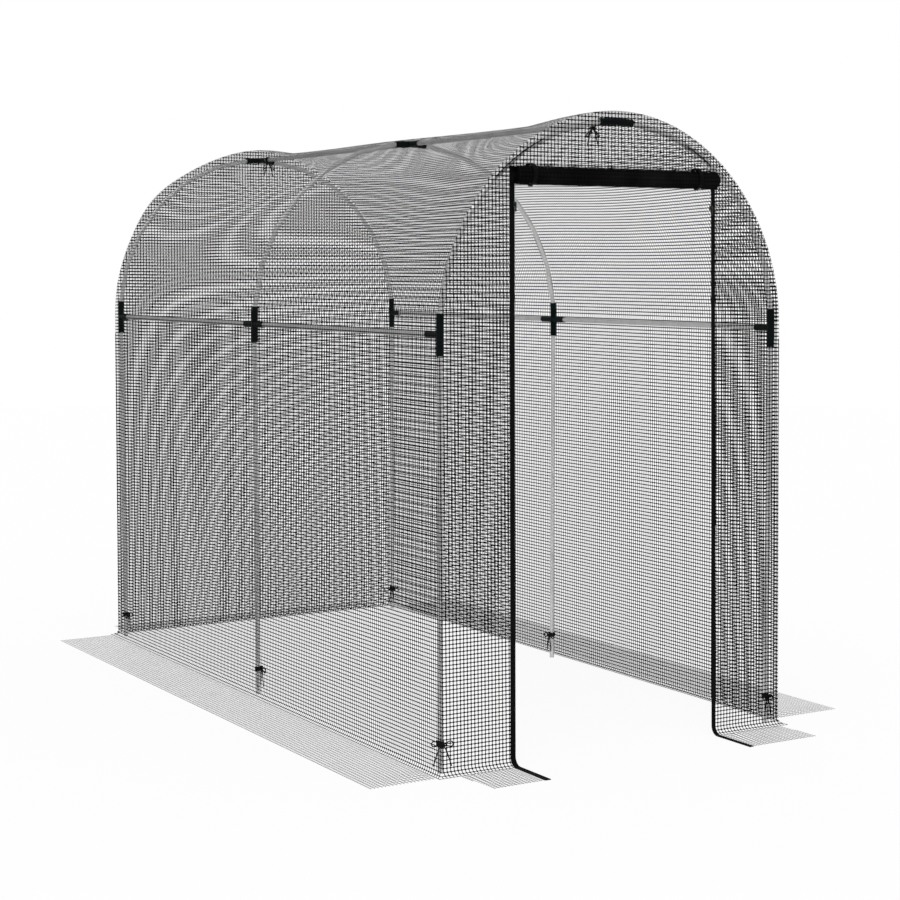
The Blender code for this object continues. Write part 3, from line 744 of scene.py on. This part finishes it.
def panel_guide(low, high, left, right, levels, row_steps, offset):
    """Lines for a panel's strands and points for its knots, in the flat."""
    heights = np.linspace(low, high, outline_steps)
    near, far = left(heights), right(heights)
    places, edges = [], []

    def strand(points, depth):
        first = len(places)
        places.extend((u, v, depth) for u, v in points)
        edges.extend((first + k, first + k + 1) for k in range(len(points) - 1))

    columns = np.arange(math.ceil(near.min() / net_pitch), math.floor(far.max() / net_pitch) + 1) * net_pitch
    rows = np.arange(math.ceil(low / net_pitch + edge_share), math.floor(high / net_pitch) + 1) * net_pitch
    crossings = []
    for u in columns:
        inside = np.flatnonzero((near < u) & (u < far))
        if len(inside) > 1:
            start, end = heights[inside[0]], heights[inside[-1]]
            strand([(u, v) for v in [start, *levels[(start < levels) & (levels < end)], end]], offset)
            crossings += [(u, v, 0.0) for v in rows if start < v < end]
    for v in rows:
        ends = np.linspace(np.interp(v, heights, near), np.interp(v, heights, far), row_steps + 1)
        strand([(u, v) for u in ends], -offset)
    return guide_mesh(places + crossings, edges)


print(f"panels are cut on one grid of {net_pitch / MM:.1f} mm")

# %% [markdown]
# The flat panel is then carried to the cover by a function that says where each point goes. A panel
# has its own node in the construction model, but the roof and the door are made in parts.

# %% Laying a panel


def lay_on(mesh, place):
    """Carries a flat mesh to the cover, where place puts its across, up and outward distances."""
    flat = np.empty(len(mesh.vertices) * 3)
    mesh.vertices.foreach_get("co", flat)
    u, v, d = flat.reshape(-1, 3).T
    mesh.vertices.foreach_set("co", np.stack(place(u, v, d), axis=-1).ravel())
    steps = np.vstack([np.zeros(3), np.eye(3) * MM])
    corner, *tips = (np.array(place(*(np.array([u.mean(), v.mean(), 0.0]) + step))) for step in steps)
    if np.linalg.det([tip - corner for tip in tips]) < 0:
        mesh.flip_normals()
    mesh.update()
    return mesh


def net_panel(
    node,
    low,
    high,
    left,
    right,
    place,
    levels,
    part="",
    row_steps=1,
    held="stretched",
    slot="net",
    yarn=new_yarn,
):
    """One panel of the cover, grown and laid in its place."""
    offset = yarn["ribbon_thickness"] / 2
    guide = panel_guide(low, high, left, right, np.array(levels, float), row_steps, offset)
    mesh = lay_on(grown(guide, net_maker, **yarn), place)
    piece = place_piece(f"{node}{part}_strands", mesh, slot, node)
    heights = np.linspace(low, high, outline_steps)
    width, height = float(right(heights).max() - left(heights).min()), high - low
    area = float(np.mean(right(heights) - left(heights))) * height
    triangles = sum(len(face.vertices) - 2 for face in mesh.polygons)
    print(f"{piece.name}: {width:.3f} x {height:.3f} m, {area:.3f} m2 of net, {triangles} triangles")


print("panel helpers ready: lay_on, net_panel")

# %% [markdown]
# At its foot a wall doesn't stop at the ground. The net turns outwards in a soft bend and runs on
# as the skirt. This function gives, for a distance up the net, the height, the way outwards and
# how far the net has turned.

# %% The foot of a wall
foot_radius = 24.0 * MM
foot_start = foot_radius * (1 - math.pi / 2)


def foot(v):
    turn = np.clip((foot_radius - v) / foot_radius, 0.0, math.pi / 2)
    height = np.where(turn > 0, foot_radius - (foot_radius - half_net) * np.sin(turn), v)
    return height, foot_radius * (1 - np.cos(turn)), turn


wall_levels = [*np.linspace(foot_start, foot_radius, 6)[1:], tee_height]
print(f"the net turns outwards over the last {(foot_radius - foot_start) * 1000:.0f} mm")

# %% [markdown]
# The two side walls are plain rectangles in the flat. Laid on the frame they fan out towards the
# ground, with their strands running up into the roof.

# %% Side walls


def constant(value):
    return lambda v: np.full(np.shape(v), value)


def wall_place(side):
    def place(u, v, d):
        z, out, turn = foot(v)
        across = side_distance(side, z) + out + d * np.cos(turn)
        return side * across, stretched(u, z) + out * u / reach, z + d * np.sin(turn)

    return place


full_length = (constant(-reach), constant(reach))
for word, yarn in {"left": new_yarn, "right": wide_yarn}.items():
    place = wall_place(SIDES[word])
    net_panel(f"side_net_{word}", foot_start, spring_height, *full_length, place, wall_levels, yarn=yarn)

# %% [markdown]
# The roof is the same net, carried on over the arches. In the flat its height is measured on from
# the wall and round the arch. It is made in three strips, each a third of the way round, so that
# no piece gets too heavy to handle.

# %% Roof
barrel_radius = arch_radius + side_offset
roof_length = math.pi * barrel_radius
roof_yarn = {"left": slack_yarn, "crown": slack_yarn, "right": wide_yarn}
strip_levels, strip_steps = 18, 48


def roof_place(u, v, d):
    angle = math.pi - (v - spring_height) / barrel_radius
    radius = roof_radius(angle, u) + d
    z = spring_height + radius * np.sin(angle)
    return radius * np.cos(angle), stretched(u, z), z


for number, (word, yarn) in enumerate(roof_yarn.items()):
    low, high = (spring_height + roof_length * k / len(roof_yarn) for k in (number, number + 1))
    levels = np.linspace(low, high, strip_levels)
    strip = {"part": f"_{word}", "row_steps": strip_steps, "yarn": yarn}
    net_panel("roof_net", low, high, *full_length, roof_place, levels, **strip)

# %% [markdown]
# The end nets are cut to the arch. Below the spring line their edges follow the walls, and above
# it they follow the roof's own end, which is the same curve that the roof uses.

# %% End nets
arch_steps = 200


def arch_half_width(side, sign, z):
    """Half the width of an end net at a height above the spring of the arch."""
    angles = np.linspace(0.0, math.pi / 2, arch_steps)
    radius = roof_radius(angles if side > 0 else math.pi - angles, sign * half_length) - half_net
    return np.interp(z, spring_height + radius * np.sin(angles), radius * np.cos(angles))


def end_edge(side, sign):
    def edge(v):
        z, out, _ = foot(v)
        wall = side_distance(side, z) + out - half_net
        return side * np.where(z > spring_height, arch_half_width(side, sign, z), wall)

    return edge


def end_place(sign):
    def place(u, v, d):
        z, out, turn = foot(v)
        return u, sign * (end_distance(z) + out + d * np.cos(turn)), z + d * np.sin(turn)

    return place


def arch_top(sign):
    return spring_height + float(roof_radius(math.pi / 2, sign * half_length)) - half_net


end_levels = [*wall_levels, cover_top]
net_panel("back_net", foot_start, arch_top(1), end_edge(-1, 1), end_edge(1, 1), end_place(1), end_levels)

# %% [markdown]
# At the front a strip of net stands on each side of the doorway, and a panel fills the arch above
# it. The doorway is a little wider at the foot than at the head. Its edges are read from the zip
# tapes of the construction model.

# %% Front nets
header_height = middle("door_roll").z
header_lap = 10.0 * MM
tape_width = 15.0 * MM
sew_gap = 0.3 * MM
left_box, right_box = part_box("zip_tape_left"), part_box("zip_tape_right")
zip_feet = {-1: left_box[0].x + tape_width / 2, 1: right_box[1].x - tape_width / 2}
zip_heads = {-1: left_box[1].x - tape_width / 2, 1: right_box[0].x + tape_width / 2}


def door_edge(side, z, past=0.0):
    """How far across the zip line is on one side, or a point that lies past it."""
    return zip_feet[side] + (zip_heads[side] - zip_feet[side]) * z / cover_top + side * past


def strip_edge(side):
    return lambda v: door_edge(side, v, tape_width / 2 + sew_gap)


def header_edge(side):
    """Between the tapes under the roll, and out to the arch above it."""
    return lambda v: np.where(
        v > cover_top, side * arch_half_width(side, -1, v), door_edge(side, v, -tape_width / 2 - sew_gap)
    )


front, header_low = end_place(-1), header_height - header_lap
net_panel("front_net_left", foot_start, cover_top, end_edge(-1, -1), strip_edge(-1), front, end_levels)
net_panel("front_net_right", foot_start, cover_top, strip_edge(1), end_edge(1, -1), front, end_levels)
net_panel("front_net_top", header_low, arch_top(-1), header_edge(-1), header_edge(1), front, end_levels)
head_width, foot_width = (line[1] - line[-1] for line in (zip_heads, zip_feet))
print(f"doorway {head_width:.3f} m wide at the head, {foot_width:.3f} at the foot")

# %% [markdown]
# Skirts of the same net lie on the ground all round, to be weighed down with stones or soil. They
# start where the walls' bend ends, rise there in a low wave and sink to their outer edge. The right
# one is laid out a little wider than it was drawn. The front ones lie slightly askew and are less
# worn, as the picture shows.

# %% Skirts
skirt_rise, rise_share = 9.0 * MM, 0.15
held_run = 50.0 * MM
skirt_levels, skirt_steps = 14, 24
right_extra = 43.0 * MM
askew = {"skirt_front_left": (17.0 * MM, 0.0), "skirt_front_right": (0.0, 9.0 * MM)}


def skirt(name, low, high, run, place):
    """A skirt from low to high along its wall, that runs out from the end of the wall's bend."""
    left_shift, right_shift = askew.get(name, (0.0, 0.0))

    def left(v):
        return low + left_shift * v / run

    def right(v):
        return high + right_shift * v / run

    def lie(u, v, d):
        share = v / run
        wave = np.where(share < rise_share, eased(share / rise_share), (1 - share) / (1 - rise_share))
        lift = skirt_rise * wave * eased(np.minimum(u - low, high - u) / held_run)
        return place(u, v + foot_radius, half_net + lift + d)

    levels, yarn = np.linspace(0.0, run, skirt_levels), front_yarn if name in askew else worn_sheen_yarn
    net_panel(name, 0.0, run, left, right, lie, levels, row_steps=skirt_steps, held="laid", yarn=yarn)


def skirt_place(sign, start, lengthways):
    """A side skirt runs along the cage, and an end skirt across it."""

    def place(u, v, z):
        out = sign * (start + v)
        return (out, u, z) if lengthways else (u, out, z)

    return place


for word, side in SIDES.items():
    low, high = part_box(f"skirt_{word}")
    start = float(side_distance(side, 0.0))
    run = (high.x + right_extra if side > 0 else -low.x) - start - foot_radius
    skirt(f"skirt_{word}", low.y, high.y, run, skirt_place(side, start, True))
for name, sign in (("skirt_back", 1), ("skirt_front_left", -1), ("skirt_front_right", -1)):
    low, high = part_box(name)
    start = float(end_distance(0.0))
    run = (high.y if sign > 0 else -low.y) - start - foot_radius
    skirt(name, low.x, high.x, run, skirt_place(sign, start, False))

# %% [markdown]
# The door is a rectangle of the same net, rolled up from its lower edge and held above the doorway.
# Here it is really rolled: the flat door is cut like every other panel and wound into a spiral of
# some seventeen turns. It bulges up where the straps lift it and is nipped in below, the turns slip
# a little at the right end, and small waves keep the outer turn from looking turned on a lathe.

# %% Door roll
roll_low, roll_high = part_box("door_roll")
roll_fullness = 2.2 * MM
roll_middle = (roll_low + roll_high) / 2 + Vector((0.0, 0.0, roll_fullness))
roll_radius = (roll_high.z - roll_low.z) / 2 + roll_fullness
roll_core = 3.5 * MM
door_length = 1.70
strap_places = [middle("roll_strap_left").x, middle("roll_strap_right").x]
turn_pitch = math.pi * (roll_radius**2 - roll_core**2) / door_length
last_turn = 2 * math.pi * (roll_radius - roll_core) / turn_pitch
end_slip = 15.0 * MM
slip_run = 60.0 * MM
nip_share, lift_share = 0.08, 0.10
nip_width = 16.0 * MM
edge_turn = 0.2
wave_depth, wave_shift = 0.011, 1.0
short_waves, long_waves, ripples = 61, 23, 140
roll_rows, roll_steps = 211, 28


def roll_form(u, angle):
    """How full the roll is along its length and round it, as a share of its radius."""
    form = 1.0
    up = np.sin(angle)
    for place in strap_places:
        near = np.exp(-(((u - place) / nip_width) ** 2))
        form = form + near * (lift_share * np.maximum(0.0, up) ** 2 - nip_share * (1 - up) / 2)
    waves = np.sin(u * short_waves + angle) * np.sin(u * long_waves + 2 * angle + wave_shift)
    return form + wave_depth * (waves + np.sin(u * ripples - angle * 3))


def roll_place(u, v, d):
    radius = np.sqrt(roll_core**2 + turn_pitch * np.maximum(v, 0.0) / math.pi)
    angle = 2 * math.pi * (radius - roll_core) / turn_pitch - last_turn + edge_turn
    share = radius / roll_radius
    slip = end_slip * share**2 * eased((u - (roll_high.x - slip_run)) / slip_run)
    full = (radius + d) * (1 + (roll_form(u, angle) - 1) * share)
    return u - slip, roll_middle.y + full * np.cos(angle), roll_middle.z + full * np.sin(angle)


roll_levels = np.linspace(0.0, door_length, roll_rows)
halves = [roll_low.x, roll_middle.x, roll_high.x]
for word, low, high in zip(SIDES, halves, halves[1:]):
    half = {"part": f"_{word}", "row_steps": roll_steps, "held": "folded", "slot": "door_net"}
    net_panel("door_roll", 0.0, door_length, constant(low), constant(high), roll_place, roll_levels, **half)
print(f"door of {roll_high.x - roll_low.x:.3f} x {door_length:.2f} m in {last_turn / 2 / math.pi:.1f} turns")

# %% [markdown]
# Two woven straps hold the roll. Each is sewn into the seam above it, goes round, and is closed by
# a small toggle that hangs under the roll.

# %% Roll straps
strap_width = 14.0 * MM
strap_thickness = 1.8 * MM
toggle_radius, toggle_length = 3.2 * MM, 13.0 * MM
strap_rise = 1.5 * MM
strap_steps, toggle_sides = 48, 14
weave_pitch = 1.3 * MM
woven_black = (0.0035, 0.0035, 0.0038)


def woven_material(name):
    """Woven webbing: two sets of fine waves that cross, on Object coordinates."""
    made, tree, inputs = finish(name, woven_black, 0.6, specular=0.03)
    threads = 2 * math.pi / weave_pitch
    place = add(tree, "ShaderNodeTexCoord").outputs["Object"]
    axes = add(tree, "ShaderNodeSeparateXYZ", {0: place}).outputs
    warp = math_node(tree, "SINE", math_node(tree, "MULTIPLY", axes["X"], threads))
    level = math_node(tree, "ADD", axes["Y"], axes["Z"])
    weft = math_node(tree, "SINE", math_node(tree, "MULTIPLY", level, threads))
    bump(tree, inputs, math_node(tree, "MULTIPLY", warp, weft), distance=0.12 * MM, strength=0.6)
    return made


zip_cloth, strap_cloth = woven_material("zip_tape"), woven_material("roll_strap")


def closed_mesh(name, shape):
    """The mesh of a closed form, with its faces turned out."""
    bmesh.ops.recalc_face_normals(shape, faces=shape.faces)
    mesh = bpy.data.meshes.new(name)
    shape.to_mesh(mesh)
    shape.free()
    return mesh


def band_mesh(name, points, outs, width, thickness, cyclic=False):
    """A flat band along a line of points, with a rounded edge, its faces turned out."""
    half, thick = width / 2, thickness / 2
    section = [(-half, 0.0), (-half + thick / 2, thick), (half - thick / 2, thick)]
    section += [(half, 0.0), (half - thick / 2, -thick), (-half + thick / 2, -thick)]
    shape = bmesh.new()
    rings = [
        [shape.verts.new(point + Vector((across, 0.0, 0.0)) + out * away) for across, away in section]
        for point, out in zip(points, outs)
    ]
    pairs = list(zip(rings, rings[1:])) + ([(rings[-1], rings[0])] if cyclic else [])
    for one, two in pairs:
        for k in range(len(section)):
            shape.faces.new((one[k - 1], one[k], two[k], two[k - 1]))
    if not cyclic:
        shape.faces.new(rings[0])
        shape.faces.new(rings[-1])
    return closed_mesh(name, shape)


def strap_mesh(x):
    points, outs = [], []
    for k in range(strap_steps):
        angle = 2 * math.pi * k / strap_steps
        out = Vector((0.0, math.cos(angle), math.sin(angle)))
        nipped = float(roll_form(x, angle))
        radius = roll_radius * nipped + strap_thickness / 2 + strap_rise * max(0.0, math.sin(angle))
        points.append(Vector((x, roll_middle.y, roll_middle.z)) + out * radius)
        outs.append(out)
    return band_mesh("strap", points, outs, strap_width, strap_thickness, cyclic=True)


def toggle_mesh(x):
    """A turned peg with thick ends, lying across under the strap."""
    shape = bmesh.new()
    profile = [(-1.0, 0.0), (-1.0, 0.8), (-0.8, 1.0), (-0.5, 0.75), (0.0, 0.7), (0.5, 0.75), (0.8, 1.0)]
    profile += [(1.0, 0.8), (1.0, 0.0)]
    line = [
        shape.verts.new((share * toggle_length / 2, away * toggle_radius, 0.0)) for share, away in profile
    ]
    edges = [shape.edges.new(pair) for pair in zip(line, line[1:])]
    round_x = {"cent": (0, 0, 0), "axis": (1, 0, 0), "angle": 2 * math.pi, "steps": toggle_sides}
    bmesh.ops.spin(shape, geom=line + edges, use_merge=True, **round_x)
    bmesh.ops.remove_doubles(shape, verts=shape.verts, dist=0.01 * MM)
    low = roll_middle.z - roll_radius * (1 - nip_share) - toggle_radius
    bmesh.ops.translate(shape, verts=shape.verts, vec=(x, roll_middle.y, low))
    return closed_mesh("toggle", shape)


for word, x in zip(SIDES, strap_places):
    node = f"roll_strap_{word}"
    place_piece(f"{node}_band", strap_mesh(x), "cord", node, strap_cloth)
    place_piece(f"{node}_toggle", toggle_mesh(x), "cord", node, moulded)
    print(f"strap at x {x:.3f} m, {strap_width / MM:.0f} mm wide")

# %% [markdown]
# A zip's tape is a woven band with a row of teeth along one edge. It runs straight down, bends at
# the foot and lies along the ground to the skirt's edge. The teeth repeat about eight hundred times
# on each side, so Geometry Nodes set one small block every 2.4 mm along a guide line. The same tree
# sews the stitches, with other sizes. The left tape laps a little further over its net, as the
# picture shows.

# %% Rows of small blocks


def row_tree():
    """A block at even steps along each line of the guide, turned to follow it."""
    tree, given, out = new_group(
        "row_of_blocks",
        "GeometryNodeTree",
        [
            ("Guide", GEOMETRY, None),
            ("Step", NUMBER, 2.4 * MM),
            ("Width", NUMBER, 3.0 * MM),
            ("Thickness", NUMBER, 3.0 * MM),
            ("Length", NUMBER, 1.4 * MM),
            ("Slant", NUMBER, 0.0),
            ("Finish", "NodeSocketMaterial", None),
        ],
        [("Blocks", GEOMETRY)],
    )
    inputs = {"Curve": level_lines(tree, given["Guide"]), "Length": given["Step"]}
    stops = add(tree, "GeometryNodeCurveToPoints", inputs, mode="LENGTH").outputs
    inputs = {0: given["Width"], 1: given["Thickness"], 2: given["Length"]}
    size = output(tree, "ShaderNodeCombineXYZ", inputs)
    block = output(tree, "GeometryNodeMeshCube", {"Size": size})
    odd = math_node(tree, "FLOORED_MODULO", output(tree, "GeometryNodeInputIndex"), 2.0)
    swing = math_node(tree, "MULTIPLY_ADD", odd, 2.0, -1.0)
    lean = output(tree, "ShaderNodeCombineXYZ", {1: math_node(tree, "MULTIPLY", swing, given["Slant"])})
    inputs = {0: stops["Rotation"], 1: lean}
    turned = output(tree, "FunctionNodeRotateRotation", inputs, rotation_space="LOCAL")
    coat(tree, set_on(tree, stops["Points"], block, Rotation=turned), given, out)
    return tree


row_maker = row_tree()


def row(lines, material, **sizes):
    """Blocks along some open lines. A size that isn't given is that of a zip's teeth."""
    places, edges = [], []
    for points in lines:
        edges += [(len(places) + k, len(places) + k + 1) for k in range(len(points) - 1)]
        places += [tuple(point) for point in points]
    return grown(guide_mesh(places, edges), row_maker, finish=material, **sizes)


print("row maker ready:", row_maker.name)

# %% Zip tapes
tape_thickness = 2.3 * MM
tape_bend = 27.0 * MM
tape_low = 1.25 * MM
bend_steps = 10
tooth_width, tooth_thickness, tooth_gap = 3.0 * MM, 2.9 * MM, 0.1 * MM
tape_laps = {"left": 2.5 * MM, "right": 0.0}
stitch_inset = 1.6 * MM
tape_stitch = {"step": 4.8 * MM, "width": 1.0 * MM, "thickness": 0.6 * MM, "length": 3.2 * MM}


def tape_line(side, past=0.0, lift=0.0):
    """Points down the middle of a tape, or beside it, and the way out of the cage at each."""
    end = -left_box[0].y - float(end_distance(0.0))
    shape = [(0.0, cover_top), (0.0, cover_top / 2), (0.0, tape_low + tape_bend)]
    turns = [math.pi / 2 * k / bend_steps for k in range(bend_steps + 1)]
    route = [(forward, z, 0.0) for forward, z in shape]
    route += [(tape_bend * (1 - math.cos(t)), tape_low + tape_bend * (1 - math.sin(t)), t) for t in turns[1:]]
    route.append((end, tape_low, math.pi / 2))
    points, outs = [], []
    for forward, z, turn in route:
        out = Vector((0.0, -math.cos(turn), math.sin(turn)))
        across = float(door_edge(side, z, past))
        points.append(Vector((across, -float(end_distance(z)) - forward, z)) + out * lift)
        outs.append(out)
    return points, outs


for word, side in SIDES.items():
    node, tape_lap = f"zip_tape_{word}", tape_laps[word]
    points, outs = tape_line(side, tape_lap / 2)
    cloth = band_mesh("tape", points, outs, tape_width + tape_lap, tape_thickness)
    place_piece(f"{node}_band", cloth, "zip_tape", node, zip_cloth)
    edge = tape_line(side, -tape_width / 2 + tooth_width / 2 + tooth_gap)[0]
    teeth = row([edge], zip_cloth, width=tooth_width, thickness=tooth_thickness)
    place_piece(f"{node}_teeth", teeth, "zip_tape", node)
    outer, inner = tape_width / 2 + tape_lap - stitch_inset, -tape_width / 2 + tooth_width + stitch_inset
    sewn = [tape_line(side, past, tape_thickness / 2)[0] for past in (outer, inner)]
    stitches = row(sewn, tie_cord, **tape_stitch)
    place_piece(f"{node}_stitches", stitches, "zip_tape", node)
    print(f"{node}: {len(teeth.polygons) // 6} teeth, {len(stitches.polygons) // 6} stitches")

# %% [markdown]
# The cover's panels are sewn edge to edge with a zigzag that holds the outer strands of both. Above
# the doorway a thin dark line shows on each side. It is painted shade: a row of dark stitches just
# in front of the net, along the shaded underside of the front arch tube.

# %% Seams
seam_steps = 40
zigzag = {"step": 5.9 * MM, "width": 0.6 * MM, "thickness": 0.6 * MM, "length": 4.6 * MM, "slant": 0.6}


def corner_line(side, sign):
    heights = np.linspace(foot_radius, spring_height, seam_steps)
    return [(side * float(side_distance(side, z)), sign * float(end_distance(z)), z) for z in heights]


def arch_line(sign):
    angles = np.linspace(0.0, math.pi, 2 * seam_steps)
    radii = roof_radius(angles, sign * half_length)
    heights = spring_height + radii * np.sin(angles)
    return [
        (radius * math.cos(angle), sign * float(end_distance(z)), z)
        for angle, radius, z in zip(angles, radii, heights)
    ]


for end, sign, node in (("front", -1, "front_net_top"), ("back", 1, "back_net")):
    thread = row([corner_line(-1, sign), corner_line(1, sign), arch_line(sign)], tie_cord, **zigzag)
    place_piece(f"seam_{end}", thread, "net", node)
    print(f"seam_{end}: {len(thread.polygons) // 6} stitches")

# Painted shade: on each side above the doorway, a dark row of stitches just in front of the net stands for
# the shaded underside of the front arch tube.
painted_shade_radius, painted_shade_shift, painted_shade_gap = 596.5 * MM, -10.5 * MM, 0.6 * MM
painted_shade_runs, painted_shade_steps = {"left": (134.0, 115.0), "right": (63.5, 53.5)}, 24
painted_shade_stitch = {"step": 2.4 * MM, "width": 1.0 * MM, "thickness": 3.4 * MM, "length": 2.6 * MM}
for word, run in painted_shade_runs.items():
    points = []
    for degrees in np.linspace(*run, painted_shade_steps):
        angle = math.radians(degrees)
        z = spring_height + painted_shade_radius * math.sin(angle)
        forward = float(end_distance(z)) + knot_thickness / 2 + painted_shade_gap
        points.append((painted_shade_shift + painted_shade_radius * math.cos(angle), -forward, z))
    painted_shade_row = row([points], tie_cord, **painted_shade_stitch)
    place_piece(f"dart_{word}", painted_shade_row, "net", "front_net_top")
    print(f"dart_{word}: {len(painted_shade_row.polygons) // 6} stitches")

# %% [markdown]
# Sliders and pulls keep the construction model's shape, which is already the real one. They only
# get their finish: black paint on zinc, worn to a soft shine.

# %% Zip metal


def painted_material():
    made, tree, inputs = finish("zip_metal", (0.010, 0.010, 0.011), 0.32, metallic=0.2, specular=0.3)
    weathered(tree, inputs, (0.008, 0.008, 0.009), (0.06, 0.06, 0.058), amount=0.4, scale=180.0)
    return made


paint(solids("zip_slider_", "zip_pull_"), painted_material())
print("sliders and pulls have their finish")
